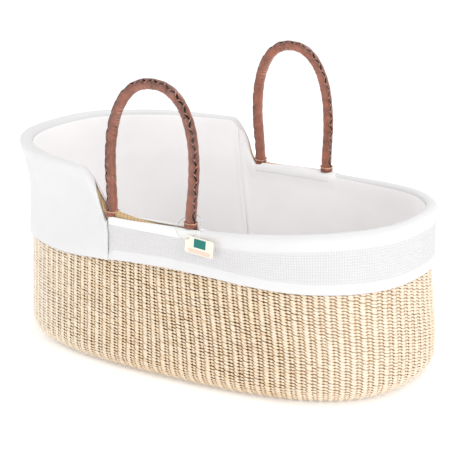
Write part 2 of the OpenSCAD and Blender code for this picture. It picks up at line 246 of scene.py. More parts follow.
WAFFLE = 0.0045  # side of one cell
def cotton_material(name, base=(0.75, 0.748, 0.755), waffle=True):
    """White cotton. uv is in metres; the tint's red channel is 1 where the cloth is waffle, whose hollows are
    darkened as painted shade.
    """
    m, nt, b = nodes_of(name)
    constants(b, Roughness=0.85, Sheen_Weight=0.15, Sheen_Roughness=0.5, Specular_IOR_Level=0.2)
    thread = noise(nt, uv_scaled(nt, 1400, 1400), 1.0, 2)
    soft = noise(nt, uv_scaled(nt, 9, 9), 1.0, 2)
    color = ramp(nt, soft, [(0.35, tuple(0.965 * v for v in base)), (0.65, base)])
    n1 = bump(nt, None, thread, 0.0003, 0.35)
    if not waffle:
        nt.links.new(n1, b.inputs["Normal"])
        nt.links.new(color, b.inputs["Base Color"])
        return m
    sep = add(nt, "ShaderNodeSeparateXYZ", {0: uv_scaled(nt, 1, 1)})
    wave = []
    for out in (0, 1):
        x = math_node(nt, "MULTIPLY", sep.outputs[out], pi / WAFFLE)
        s = math_node(nt, "ABSOLUTE", math_node(nt, "SINE", x))
        wave.append(math_node(nt, "POWER", s, 0.7))
    cell = math_node(nt, "MULTIPLY", wave[0], wave[1])
    red = add(nt, "ShaderNodeSeparateColor", {0: tint_of(nt)}).outputs[0]
    low = math_node(nt, "SUBTRACT", 1.0, cell)
    amount = math_node(nt, "MULTIPLY", low, red)
    # painted shade: the waffle's hollows are darker
    hollow_shade = tuple(v * k for v, k in zip(base, (0.76, 0.745, 0.78)))
    color = mix_rgb(nt, "MIX", math_node(nt, "MULTIPLY", amount, 0.48), color, hollow_shade)
    nt.links.new(color, b.inputs["Base Color"])
    bump(nt, b, math_node(nt, "MULTIPLY", cell, red), 0.0010, 0.8, n1)
    return m

def leather_material(name, base, edge, grain=1.0):
    """Brown leather: the tint's red channel mixes in edge, the light colour of wear and painted highlights; its green
    channel darkens, for painted shade in creases and cracks and for darker tone.
    """
    m, nt, b = nodes_of(name)
    tc = add(nt, "ShaderNodeTexCoord").outputs["Object"]
    sep = add(nt, "ShaderNodeSeparateColor", {0: tint_of(nt)})
    mottle = noise(nt, tc, 55, 4)
    c = ramp(nt, mottle, [(0.3, tuple(v * 0.55 for v in base)), (0.7, tuple(min(1, v * 1.3) for v in base))])
    c = mix_rgb(nt, "MIX", sep.outputs[0], c, edge)
    c = mix_rgb(nt, "MIX", sep.outputs[1], c, tuple(v * 0.16 for v in base))
    nt.links.new(c, b.inputs["Base Color"])
    constants(b, Specular_IOR_Level=0.3, Coat_Weight=0.5, Coat_Roughness=0.22, Coat_IOR=1.6)
    rough = ramp(nt, noise(nt, tc, 130, 3), [(0.3, (0.30,) * 3), (0.7, (0.46,) * 3)])
    nt.links.new(rough, b.inputs["Roughness"])
    v = add(nt, "ShaderNodeTexVoronoi", {"Vector": tc})
    constants(v, Scale=900)
    n1 = bump(nt, None, v.outputs["Distance"], 0.0002 * grain, 0.5)
    bump(nt, b, noise(nt, tc, 260, 4), 0.0005 * grain, 0.6, n1)
    return m

def plain_material(name, color, rough):
    m, nt, b = nodes_of(name)
    tc = add(nt, "ShaderNodeTexCoord").outputs["Object"]
    grain = noise(nt, tc, 400, 3)
    nt.links.new(ramp(nt, grain, [(0.3, tuple(v * 0.94 for v in color)), (0.7, color)]), b.inputs["Base Color"])
    constants(b, Roughness=rough, Specular_IOR_Level=0.4)
    bump(nt, b, grain, 0.0002, 0.3)
    return m

grass = grass_material("woven_grass")
grass_dark = grass_material("grass_shadow")
cotton = cotton_material("waffle_cotton")
lining_cloth = cotton_material("plain_cotton", (0.92, 0.905, 0.905), waffle=False)
tape = cotton_material("binding_tape", (0.83, 0.83, 0.825), waffle=False)
inner_tape = cotton_material("inner_tape", (0.87, 0.865, 0.865), waffle=False)
leather = leather_material("brown_leather", (0.315, 0.090, 0.045), (0.70, 0.43, 0.35))
strap_leather = plain_material("strap_leather", (0.16, 0.06, 0.04), 0.5)
tan = leather_material("tan_band", (0.66, 0.36, 0.22), (0.75, 0.52, 0.36), 0.6)

# ---------------------------------------------------------------- the basket's surfaces, as in part.scad
LEN, WID, SIDE, HOOD, RISE = 0.803, 0.466, 0.2925, 0.3745, 0.012
WEAVE, EDGE, BORDER = 0.007, 0.036, 0.0055
MID, GAP, CLOTH, HEM = -0.0035, 0.0008, 0.003, 0.202
STEP0, STEP1, SKEW = -0.143, -0.088, 0.008
SEAM_OUT, SEAM_IN = -0.087, -0.125

def smooth(u):
    c = np.clip(u, 0, 1)
    return c * c * (3 - 2 * c)

def mix(p, q, u):
    return p + (q - p) * u

# by height z: the swell low down, the hood's flare, the two ends, half the width, and the power of the oval
def bulge(z):
    return 1 - smooth((z - 0.06) / 0.14)

def flare(z):
    return np.maximum(0, (z - 0.29) / 0.085) ** 1.4

def head_end(z):
    return -(LEN / 2 - 0.0025 + 0.0025 * bulge(z) + 0.0125 * flare(z))

def foot_end(z):
    return LEN / 2 - 0.009 + 0.009 * bulge(z)

def half_w(z):
    return WID / 2 + 0.0035 * (z - 0.06) / 0.235 + 0.0095 * flare(z)

def order(z):
    return 2.71 - 0.28 * np.minimum(1, z / 0.295)

def half_len(z):
    return (foot_end(z) - head_end(z)) / 2

def spow(v, p):
    """A power that keeps the sign."""
    return np.sign(v) * np.abs(v) ** p

def outline(t, z):
    """The wall's outer face (x, y) at station t and height z."""
    p = 2 / order(z)
    hl, cx = half_len(z), (foot_end(z) + head_end(z)) / 2
    return cx + hl * spow(np.cos(t), p), half_w(z) * spow(np.sin(t), p)

def outward(t, z):
    """Its outward direction there."""
    p = 2 - 2 / order(z)
    x, y = spow(np.cos(t), p) / half_len(z), spow(np.sin(t), p) / half_w(z)
    n = np.hypot(x, y)
    return x / n, y / n

def at(t, off, z):
    """The point at offset off from the wall's outer face, at station t (radians) and height z."""
    t, off, z = np.broadcast_arrays(t, off, z)
    (x, y), (nx, ny) = outline(t, z), outward(t, z)
    return np.stack([x + off * nx, y + off * ny, z], -1)

def station(x):
    hl, cx = half_len(SIDE), (foot_end(SIDE) + head_end(SIDE)) / 2
    return np.arccos(spow((np.asarray(x) - cx) / hl, order(SIDE) / 2))

def shift(x):
    return SKEW * smooth((0.04 - x) / 0.1)

def x_of(t):
    """Place along the rim: the steps of the two sides stand a little askew."""
    x, y = outline(t, SIDE)
    return x - shift(x) * y / half_w(SIDE)

def side_t(x, sign):
    """Station of place x along the rear side (sign 1) or the front one (sign -1)."""
    x = np.asarray(x)
    return sign * station(x + sign * shift(x))

def rim_at(x):
    """Height of the rim at place x."""
    low = SIDE + RISE * smooth((x - 0.15) / 0.25)
    hood = HOOD - 0.001 * ((x + 0.275) / 0.135) ** 2
    return mix(low, hood, smooth(np.clip((STEP1 - x) / (STEP1 - STEP0), 0, 1) ** 0.8))

def rim(t):
    return rim_at(x_of(t))

def steep(t):
    """How much taller the border's upright section is where the rim slopes."""
    s = (rim_at(x_of(t) + 0.002) - rim_at(x_of(t) - 0.002)) / 0.004 * outward(t, SIDE)[1]
    return np.sqrt(1 + s * s)

def rim_mid(t):
    return rim(t) - BORDER * steep(t)

def round_rim(t, r, ang):
    """The point at distance r and angle ang (degrees, 0 outwards, 90 up) round the border's middle."""
    a_ = np.radians(ang)
    return at(t, MID + r * np.cos(a_), rim_mid(t) + r * steep(t) * np.sin(a_))

def drawn_in(p, k, z):
    """A level outline drawn in to k times its size, at height z."""
    return p * np.array([k, k, 0]) + np.array([0, 0, z])

ARC = pi / 2 * EDGE
def skin(t, u, off):
    """The basket's outside: u runs from the underside (below 0) round the lower edge (0 to ARC) and up the wall."""
    t, u, off = np.broadcast_arrays(t, u, off)
    g = np.clip(u, 0, ARC) / EDGE
    inset = -EDGE * (1 - np.sin(g)) + np.minimum(u, 0)
    z = EDGE * (1 - np.cos(g)) + np.maximum(u - ARC, 0)
    return at(t, inset + off * np.sin(g), z - off * np.cos(g))

def lengths(p):
    """Length along a line of points, from 0 at the first."""
    return np.concatenate([[0], np.cumsum(np.linalg.norm(np.diff(p, axis=0), axis=1))])

# stations by length along the wall's fullest level
FULLEST = 0.06
_t = np.linspace(-pi, pi, 6001)
_s = lengths(at(_t, 0.0, FULLEST))
ROUND = float(_s[-1])
def t_at(s):
    """Station at length s."""
    return np.interp(np.mod(s, ROUND), _s, _t) + 2 * pi * np.floor(s / ROUND)

def all_round(n):
    """n stations evenly round the wall."""
    return t_at(np.arange(n) * ROUND / n)

def s_at(t):
    """Length at station t, from -pi."""
    return np.interp(np.mod(t + pi, 2 * pi) - pi, _t, _s)

# ---------------------------------------------------------------- woven body
def straw(n):
    """Colours of n strands of dried grass."""
    pale, warm = np.array([[0.93, 0.83, 0.71], [0.89, 0.71, 0.47]])
    rose, deep = np.array([[0.93, 0.78, 0.66], [0.66, 0.45, 0.23]])
    w = rng.random((n, 4))
    c = mix(pale, warm, 0.62 * w[:, :1] ** 1.6)
    c = mix(c, rose, 0.6 * w[:, 2:3] ** 1.5)
    c = mix(c, deep, (w[:, 1:2] > 0.95) * 0.42)
    return np.minimum(c * (0.97 + 0.07 * w[:, 3:]), 0.99)

def painted_end_light(x):
    """Painted light: how much the grass is made paler and more even towards the foot end, and a little towards the
    head.
    """
    return smooth((x - 0.205) / 0.13) + 0.85 * smooth((-0.06 - x) / 0.30)

# stakes stand closer along the sides than round the ends
STAKES_END, STAKES_SIDE = 0.0222, 0.0188
knots = [0.0]
while knots[-1] < ROUND - 0.011:
    nx = abs(outward(t_at(knots[-1]), FULLEST)[1])
    knots.append(knots[-1] + mix(STAKES_END, STAKES_SIDE, smooth((nx - 0.55) / 0.4)))
knots = np.array(knots) * ROUND / knots[-1]

def weave(name, rows):
    """Twined rows: a wide stroke and a narrow one take turns over the stakes, all falling to the right."""
    split = mix(knots[:-1], knots[1:], 0.60)
    lo, hi = np.concatenate([knots[:-1], split]), np.concatenate([split, knots[1:]])
    wide = np.concatenate([np.ones(len(split)), np.zeros(len(split))])
    nr, nc, nq, nf = len(rows), len(lo), 9, 5
    q = (0.5 - 0.5 * np.cos(pi * np.linspace(0, 1, nq)))[None, None, :, None]
    f = np.radians(np.linspace(-105, 105, nf))[None, None, None, :]
    lo, hi, wide = (v[None, :, None, None] for v in (lo, hi, wide))
    shape = (nr, nc, 1, 1)
    # each stroke: how far it reaches past its stakes, its ends, its rise, its thickness and its slant
    ext = 0.0012 + 0.0006 * rng.random(shape)
    s = mix(lo - ext, hi + ext, q) + 0.0020 * (rng.random(shape) - 0.5)
    edge = np.minimum(s - lo + ext, hi + ext - s)
    taper = smooth((edge - 0.0006) / mix(0.0034, 0.0050, wide))
    amp = mix(0.0026, 0.0036, wide) + 0.0006 * (rng.random(shape) - 0.5)
    off = -0.0046 + amp * np.sin(pi * q) ** 0.62
    thick = mix(0.0007, mix(0.0022, 0.00295, wide), taper) * (0.88 + 0.22 * rng.random(shape))
    r_ = np.array(rows)[:, None, None, None]
    drift = 0.0012 * np.sin(s / ROUND * 2 * pi * 5 + r_ * 24) + 0.0005 * np.sin(s / ROUND * 2 * pi * 13 + r_ * 60 + 1)
    fall = mix(mix(-0.0004, 0.0019, wide), mix(-0.0027, -0.0019, wide), q)
    u = r_ + fall + drift + 0.0009 * (rng.random(shape) - 0.5)
    t = t_at(s - ROUND / 2 + s_at(0.0))
    P = skin(t, np.maximum(u + thick * np.sin(f), -0.02), np.minimum(off + 0.0013 * np.cos(f), 0.0))
    P = P.reshape(nr * nc, nq, nf, 3)
    along = np.broadcast_to(q * (hi - lo), (nr, nc, nq, nf))
    across = np.broadcast_to(f * 0.0022, (nr, nc, nq, nf))
    start = rng.random(shape) * 9
    grid = np.stack([along + start, across + start * 0.37], -1).reshape(nr * nc, nq, nf, 2)
    quads = strokes(P)
    uv = grid.reshape(-1, 2)[quads]
    # neighbouring strokes of one row come from the same strand, so their colour drifts slowly
    base = straw(nr * 40).reshape(nr, 40, 3)
    k = np.argsort(np.argsort(lo.ravel())) * 39.999 / nc
    own = straw(nr * nc).reshape(nr, nc, 3)
    col = (0.5 * base[:, k.astype(int)] + 0.5 * own)[:, :, None, None, :]
    xm = P[:, :, :, 0].mean((1, 2)).reshape(nr, nc, 1, 1)
    # painted light: towards the ends the strokes are mixed towards a pale colour
    pale = mix(np.array([0.99, 0.95, 0.88]), np.array([0.98, 0.87, 0.76]), smooth(xm[..., None] / 0.1))
    col = mix(col, pale, 0.62 * painted_end_light(xm)[..., None])
    # painted shade: a stroke is darker and warmer at its ends, where it dips between the stakes, and less so towards
    # the basket's ends, as painted light
    inner = np.broadcast_to(np.clip(edge / 0.0042, 0, 1) ** 0.8, (nr, nc, nq, nf))
    shade = mix(mix(0.53, 0.86, painted_end_light(xm)), 1.0, inner)[..., None]
    col = col * shade ** np.array([0.5, 0.88, 1.75])
    return build(name, P, quads, uv, col, grass, replaces=["wall_weave"], slot="woven_grass")

ROW = 0.0057
rows = np.arange(0.0025, ARC + HEM + 0.026 - EDGE, ROW)
for i, part in enumerate(np.array_split(rows, 4)):
    weave(f"woven_wall_{i + 1}", part)

# dark core behind the strokes, from the underside to the border, with the stakes' fibres on it: its dark colour is
# painted shade in the gaps, paler towards the ends as painted light
n_core = 520
tc = all_round(n_core)
uc = np.concatenate([[-0.006], np.linspace(0, ARC, 8), np.linspace(ARC + 0.01, ARC + 0.25, 20)])
top = rim(tc) - 2 * BORDER * steep(tc)
U, T = np.meshgrid(uc, tc)
Z = ARC + (top[:, None] - EDGE) * np.clip((U - ARC) / 0.25, 0, 1)
P = skin(T, np.where(U > ARC, Z, U), -0.0050)
V, Q, UV = patch(P, grid_uv(np.arange(n_core + 1) * 0.004, uc)[:, :, ::-1], wrap_u=True)
core_shade_and_end_light = mix(np.array([0.29, 0.155, 0.052]), np.array([0.78, 0.58, 0.37]), painted_end_light(V[:, :1]))
build("weave_core", V, Q, UV, core_shade_and_end_light, grass_dark, slot="woven_grass")

# the floor is woven in straight rows across its length
def floor_weave():
    px, cells = 0.0205, []
    for y in np.arange(-0.196, 0.1961, ROW):
        reach = 0.366 * (1 - (abs(y) / 0.2015) ** 2.7) ** (1 / 2.7)
        n = int(reach / px)
        for k in range(-n, n):
            x = k * px
            cells.append((x, x + 0.62 * px, y, 1.0))
            cells.append((x + 0.62 * px, x + px, y, 0.0))
    c = np.array(cells)[:, :, None, None]
    q, f = np.linspace(0, 1, 6)[None, :, None], np.radians(np.linspace(-100, 100, 4))[None, None, :]
    arch = np.sin(pi * q)
    n = len(cells)
    thick = mix(0.0011, 0.0027, arch ** 0.55)
    x = mix(c[:, 0] - 0.0026, c[:, 1] + 0.0026, q) + 0 * f
    y = c[:, 2] + mix(0.0014, -0.0014, q) + thick * np.sin(f)
    z = 0.0042 - (0.0023 + 0.0008 * c[:, 3]) * arch ** 0.75 - 0.0010 * np.cos(f)
    P = np.stack([x, y, np.maximum(z + 0 * x, 0.0)], -1)
    quads = strokes(P, flip=True)
    start = rng.random((n, 1, 1)) * 9
    uv = np.stack([x + start, f * 0.0022 + 0 * x + start], -1).reshape(-1, 2)[quads]
    # painted shade: each floor stroke is darker at its ends, where it dips
    col = straw(n)[:, None, None, :] * mix(0.5, 1.0, arch[..., None] ** 0.8) * np.ones((n, 6, 4, 1))
    build("woven_floor", P, quads, uv, col, grass, replaces=["base_weave"], slot="woven_grass")
    # a dark core under the floor strokes: its colour is painted shade in the gaps
    t = all_round(240)
    r = np.array([1, 0.75, 0.5, 0.25, 0.01])
    e_ = at(t, -0.030, 0.0)
    P = np.stack([drawn_in(e_, k, 0.0050) for k in r], 1)
    V, Q, UV = patch(P, grid_uv(np.arange(241) * 0.004, r * 0.2), wrap_u=True)
    build("floor_core", V, Q, UV, np.broadcast_to([0.27, 0.14, 0.045], V.shape), grass_dark, slot="woven_grass")
floor_weave()

# the legs' places along the basket, and how far the border stands up beside the head-side ones
hinge = {j["child"]: Vector(j["pos_m"]) for j in frame["record"]["behaviour"]["joints"] if j["type"] == "hinge"}
SPAN = {"front": 0.168, "rear": 0.150}
SIDES = (("front", -1), ("rear", 1))

def wedge(t):
    """Height that the bare border gains beside each handle's head-side leg."""
    x, y = outline(t, SIDE)
    total = 0 * x
    for word, sign, high in (("front", -1, 0.0115), ("rear", 1, 0.0045)):
        leg = hinge[word + "_handle"].x - SPAN[word] / 2
        u = x - leg - 0.009
        total = total + high * (y * sign > 0.1) * smooth(u / 0.006 + 1) * (1 - np.clip(u / 0.125, 0, 1)) ** 2
    return total

# wrapped border
n_rim = 2400
tb = all_round(n_rim)
ang = np.linspace(0, 360, 15)[:-1]
sb = s_at(tb)
wrap = 0.0005 * np.abs(np.sin(pi * (sb[:, None] / 0.0085 + ang[None] / 360))) ** 0.6
P = round_rim(tb[:, None], BORDER - 0.0003 + wrap, ang[None])
lift = wedge(tb)[:, None]
P[..., 2] += lift * np.clip(0.5 + 0.5 * np.sin(np.radians(ang))[None], 0, 1)
uv = grid_uv(np.arange(n_rim + 1) * ROUND / n_rim, np.linspace(0, 0.035, 15))[:, :, ::-1]
V, Q, UV = patch(P, uv, wrap_u=True, wrap_v=True)
# painted shade: the border's tan is darker in the grooves between the turns of its wrapping
border_groove_shade = np.array([0.68, 0.49, 0.27]) * (0.62 + 0.38 * np.clip(wrap / 0.0005, 0, 1))[..., None]
build("wrapped_border", V, Q, UV, border_groove_shade, grass, replaces=["rim_border"], slot="woven_grass")

# ---------------------------------------------------------------- liner
def slot_open(x):
    """1 where a handle slot leaves the border bare, 0 where cloth covers it."""
    return smooth((0.110 - x) / 0.012) * smooth((x + 0.104) / 0.014)

def plump(x):
    """Wadding that fattens the rolled rim towards both ends."""
    head = 0.0034 * smooth((-0.125 - x) / 0.2) + 0.0030 * smooth((-0.33 - x) / 0.06)
    return head + 0.0028 * smooth((x - 0.10) / 0.12)

def roll_r(x):
    """Radius at which the cloth lies round the border's middle."""
    return mix(BORDER + GAP, BORDER + 0.0029, slot_open(x))

def inner_edge(x):
    """Angle at which the inner panel ends on top of the border: further back where a slot opens."""
    beside = mix(104, mix(136, 116, smooth((x + 0.08) / 0.12)), smooth((x + 0.110) / 0.012))
    beside = mix(beside, 57, smooth((x - 0.086) / 0.011))
    return mix(157, beside, smooth((0.1055 - x) / 0.006) * smooth((x + 0.130) / 0.018))

def foot_edge(x):
    """Angle at which the low flap ends on top of the border."""
    return mix(166, mix(30, 50, smooth((x + 0.06) / 0.12)), smooth((0.1055 - x) / 0.006))

def head_edge(x):
    """The same for the hood flap."""
    return mix(166, -10, smooth((x + 0.130) / 0.032))

def spread_out(t0, t1, n):
    """n stations from t0 to t1, evenly by length; t1 lies beyond t0."""
    s0, s1 = float(s_at(t0)), float(s_at(t1))
    return t_at(np.linspace(s0, s1 + (ROUND if s1 < s0 else 0), n))

def wobble(t, z, seed, size):
    """Soft unevenness of hanging cloth."""
    s = s_at(t)
    r = np.random.default_rng(seed)
    total = 0
    for _ in range(9):
        fs, fz, ph = r.integers(3, 24), r.uniform(-22, 22), r.uniform(0, 6.28)
        total = total + np.sin(2 * pi * fs * s / ROUND + fz * z + ph) / (1 + 0.1 * fs)
    return size * total / 3

def thick_cloth(name, outer, inner, tint, mat, **kw):
    """A closed cloth piece from the grids of its two faces, stations by profile points."""
    P = np.concatenate([outer, inner[:, ::-1]], 1)
    d = np.linalg.norm(np.diff(outer, axis=1), axis=2).mean(0)
    v = np.concatenate([[0], np.cumsum(d)])
    v = np.concatenate([v, 2 * v[-1] - v[::-1] + 0.003, [2 * v[-1] + 0.006]])
    u = lengths(outer[:, outer.shape[1] // 2])
    V, Q, UV = patch(P, grid_uv(u, v), wrap_v=True, flip=True)
    n, m = P.shape[:2]
    caps = []
    for row in (0, n - 1):
        j = np.arange(m // 2 - 1)
        c = np.stack([j, j + 1, m - 2 - j, m - 1 - j], -1) + row * m
        caps.append(c if row == 0 else c[:, ::-1])
    Q = np.concatenate([Q] + caps)
    UV = np.concatenate([UV, np.zeros((4 * sum(map(len, caps)), 2))])
    return build(name, V, Q, UV, np.concatenate([tint, tint[:, ::-1]], 1), mat, **kw)

HEM_SEAM = 0.0165  # the seam's height above the hem
def hem_z(x):
    """Height of the flap's hem: it rises a little below the slots."""
    return HEM + 0.017 * np.cos(np.minimum(pi / 2, np.abs(x - 0.035) / 0.27 * pi / 2)) ** 2

def flap(name, t, edge, node, seed, waffle, curl):
    """The turned-down outer cloth: a smooth roll round the border, waffle, and a hem that stands out a little."""
    tt = t[:, None]
    x = x_of(tt)
    ns, nd = 9, 60
    end = edge(x)
    low = np.minimum(end, 0)
    a_ = mix(end, low, np.linspace(0, 1, ns)[None, :])
    op = slot_open(x)
    hem = hem_z(x)
    zr = rim_mid(tt)
    faces = []
    for off0 in (CLOTH, 0.0):
        r = roll_r(x) + off0 + plump(x)
        # under the lining's edge the flap dives a little
        dive = np.minimum(CLOTH + 0.0002, plump(x)) * smooth((a_ - 153) / 6)
        topo = round_rim(tt, r - dive, a_)
        f = np.linspace(0, 1, nd + 1)[None, 1:]
        start = zr + r * steep(tt) * np.sin(np.radians(low))
        z = mix(start, hem, f)
        d = zr - z
        full = MID + r * np.cos(np.radians(low))
        tuck = smooth((d - 0.010 * op) / mix(0.026, 0.020, op))
        ease = np.exp(-((d / 0.05) ** 2)) * plump(x) * 0.6
        flare_ = smooth((0.020 - (z - hem)) / 0.018)
        seam = np.exp(-((z - hem - HEM_SEAM) / 0.0015) ** 2) * 0.0006
        off = mix(full, 0.0016 + off0 + ease, tuck) + flare_ * 0.0012 - (seam if off0 else 0)
        off = off + wobble(tt, z, seed, 0.0010) * smooth(d / 0.02) + curl(x, z, hem)
        faces.append(np.concatenate([topo, at(tt, off, z)], 1))
    z_all = faces[0][..., 2]
    mask = waffle * smooth((rim_mid(tt) - z_all - mix(0.011, 0.003, op)) / mix(0.008, 0.003, op))
    mask = mask * smooth((z_all - hem - HEM_SEAM) / 0.003)
    tint = np.repeat(mask[..., None], 3, 2)
    return thick_cloth(name, faces[0], faces[1], tint, cotton, replaces=node, slot="cotton")

def near(x, w):
    """1 at the outer seam, falling to 0 at a distance of w."""
    return smooth(1 - np.abs(x - SEAM_OUT) / w)

def hood_curl(x, z, hem):
    """The hood flap's edge stands a little over the low one."""
    return 0.0028 * near(x, 0.016) ** 0.7 * smooth((z - hem - 0.004) / 0.01) + 0.0012 * near(x, 0.016)

hood_t = spread_out(side_t(SEAM_OUT - 0.0001, 1), side_t(SEAM_OUT - 0.0001, -1), 460)
low_t = spread_out(side_t(SEAM_OUT + 0.0001, -1), side_t(SEAM_OUT + 0.0001, 1), 640)
hood_flap = flap("hood_flap", hood_t, head_edge, ["head_flap"], 3, 0.2, hood_curl)
low_flap = flap("low_flap", low_t, foot_edge, ["foot_flap", "hem_elastic"], 5, 1.0,
                lambda x, z, hem: -0.0006 * near(x, 0.03))

LEANS = 0.034  # how far each inner seam leans
def seam_depth(t, z):
    """The inner seams lean: they meet the floor nearer the foot end than they leave the rim."""
    return smooth((rim(t) - 2 * BORDER - z) / 0.26)

def inner_panel(name, t, lean, node, seed, folds):
    """A lining panel, from the floor over the border, with a leaning seam at each end."""
    tt = t[:, None]
    faces = []
    for off0 in (CLOTH, 0.0):
        g = np.radians(np.linspace(0, 90, 7))[None, :]
        r = EDGE - WEAVE - GAP - off0
        f = np.linspace(0, 1, 47)[None, 1:]
        # slide the stations near the leaning seam
        s = s_at(tt)
        ends = np.linspace(0, 1, len(t))[:, None]
        pull = -np.clip(1 - ends * 7, 0, 1) ** 1.5 * lean + np.clip(1 - (1 - ends) * 7, 0, 1) ** 1.5 * lean
        zt = rim(tt) - 2 * BORDER * steep(tt)
        z = mix(EDGE, zt, f)
        tz = t_at(s + pull * seam_depth(tt, z))
        tl = t_at(s + pull) + 0 * g
        low = at(tl, r * np.sin(g) - EDGE, EDGE - r * np.cos(g))
        d = np.abs(wobble(tz, z, seed, 0.0016)) * np.sin(pi * np.clip(f, 0, 1)) ** 0.5 + folds(tz, z)
        x = x_of(tt)
        rr = roll_r(x) + off0 + plump(x)
        near_rim = smooth(1 - (zt + BORDER - z) / (0.026 + 9 * plump(x)))
        wall = at(tz, mix(-WEAVE - GAP - off0 - d, MID - rr, near_rim), z)
        k = np.linspace(0, 1, 8)[None, :]
        up = round_rim(tt, rr + 0.0003 * k * (1 - slot_open(x)), mix(180, inner_edge(x), k))
        faces.append(np.concatenate([low, wall, up], 1))
    return thick_cloth(name, *faces, np.zeros(faces[0].shape), lining_cloth, replaces=node, slot="cotton")

# place x, side, width, depth and lean of each wrinkle
FOLDS = ((0.372, 1, 0.007, 0.0030, 0.10), (0.385, 1, 0.006, 0.0034, -0.06), (0.350, 1, 0.009, 0.0022, 0.16),
         (0.3915, 1, 0.008, 0.0020, 0.05), (0.380, -1, 0.007, 0.0026, 0.08), (0.352, -1, 0.008, 0.0020, -0.1))

def foot_folds(t, z):
    """Soft upright wrinkles where the side panel turns round the foot end."""
    total = 0
    for x0, side, w, h, lean in FOLDS:
        s0 = float(s_at(side * station(x0)))
        fold = 1.5 * h * np.exp(-(((s_at(t) - s0 - lean * (z - 0.2)) / w) ** 2))
        total = total + fold * smooth((z - 0.06) / 0.08) * smooth((0.295 - z) / 0.02)
    return total

def seam_pucker(t, z):
    """The cloth draws in a little along the leaning seam."""
    total = 0
    for sign in (1, -1):
        s0 = float(s_at(side_t(SEAM_IN, sign))) - sign * LEANS * seam_depth(side_t(SEAM_IN, sign), z)
        d = (s_at(t) - s0) * sign
        total = total + 0.0006 * np.exp(-((d / 0.012) ** 2)) * np.sin(z * 240 + sign) ** 2
        total = total + 0.0014 * np.exp(-(((np.abs(d) - 0.006) / 0.0045) ** 2))
    return total

head_t = spread_out(side_t(SEAM_IN - 0.0001, 1), side_t(SEAM_IN - 0.0001, -1), 360)
sides_t = spread_out(side_t(SEAM_IN + 0.0001, -1), side_t(SEAM_IN + 0.0001, 1), 520)
hood_lining = inner_panel("hood_lining", head_t, LEANS, ["liner_head_panel"], 11, seam_pucker)
side_lining = inner_panel("side_lining", sides_t, -LEANS, ["liner_side_panel"], 12,
                          lambda t, z: foot_folds(t, z) + seam_pucker(t, z))

# floor of the liner
t = all_round(240)
e_ = at(t, -EDGE - 0.0002, 0.0078)
r = np.array([0.004, 0.25, 0.5, 0.75, 0.97, 1.0])
up, dn = (np.stack([drawn_in(e_, k, z) for k in r], 1) for z in (0.0108, 0.0078))
P = np.concatenate([up, dn[:, ::-1]], 1)
V, Q, UV = patch(P, grid_uv(np.arange(241) * 0.008, np.arange(12) * 0.03), wrap_u=True)
lining_floor = build("lining_floor", V, Q, UV, np.zeros(V.shape), lining_cloth,
                     replaces=["liner_floor"], slot="cotton")

# white tape over both edges of each slot, a closed strip that follows the cloth under it
def tape_strip(name, sign, side, node):
    end = 0.0985 if side > 0 else 0.0885
    x = np.linspace(SEAM_OUT + 0.0015, end, 68)[:, None]
    t = side_t(x, sign)
    r = roll_r(x) + CLOTH
    g = foot_edge(x) if side > 0 else 180 - inner_edge(x)
    fade = smooth((end - x) / 0.006) * smooth((x - SEAM_OUT) / 0.003)
    def ring(rr, a_):
        return round_rim(t, rr, a_ if side > 0 else 180 - a_)
    reach = 0.0080 if side > 0 else 0.0085
    drop = np.linspace(reach, 0.0, 7)[None, :-1]
    base = r if side > 0 else r - 0.0041 * (1 - smooth(1 - drop / 0.022))
    skin_, under = [], []
    for lift, face in ((0.0011, skin_), (0.0002, under)):
        up_ = lift * fade * np.clip((reach - drop) / 0.004 + 0.35, 0, 1)
        face.append(at(t, MID + side * (base + up_), rim_mid(t) - drop))
        face.append(ring(r + lift * fade, np.linspace(0, 1, 8)[None, :] * g))
    lip = [ring(r + 0.0008, g + 4), ring(r - 0.0004, g + 7), ring(r - 0.0018, g + 7.5), ring(r - 0.0030, g + 5)]
    P = np.concatenate(skin_ + lip + [np.concatenate(under, 1)[:, ::-1]], 1)
    v = np.concatenate([[0], np.cumsum(np.linalg.norm(np.diff(P, axis=1), axis=2).mean(0)), [0.06]])
    V, Q, UV = patch(P, grid_uv(x[:, 0], v), wrap_v=True, flip=(side * sign > 0))
    return build(name, V, Q, UV, np.zeros(V.shape), tape if side > 0 else inner_tape, replaces=node, slot="binding")

for word, sign in SIDES:
    for where, side in (("outer", 1), ("inner", -1)):
        tape_strip(f"{word}_{where}_tape", sign, side, [word + "_slot_binding"])

# ---------------------------------------------------------------- mattress
def stretched_material(name, base):
    """Plain cotton drawn tight over foam, with its thread in the object's own space."""
    m, nt, b = nodes_of(name)
    tc = add(nt, "ShaderNodeTexCoord").outputs["Object"]
    color = ramp(nt, noise(nt, tc, 8, 2), [(0.35, tuple(0.965 * v for v in base)), (0.65, base)])
    nt.links.new(color, b.inputs["Base Color"])
    constants(b, Roughness=0.85, Sheen_Weight=0.15, Specular_IOR_Level=0.2)
    bump(nt, b, noise(nt, tc, 900, 2), 0.0003, 0.4, bump(nt, None, noise(nt, tc, 30, 3), 0.002, 0.3))
    return m
sheet_cloth = stretched_material("sheet_cotton", (0.91, 0.90, 0.905))

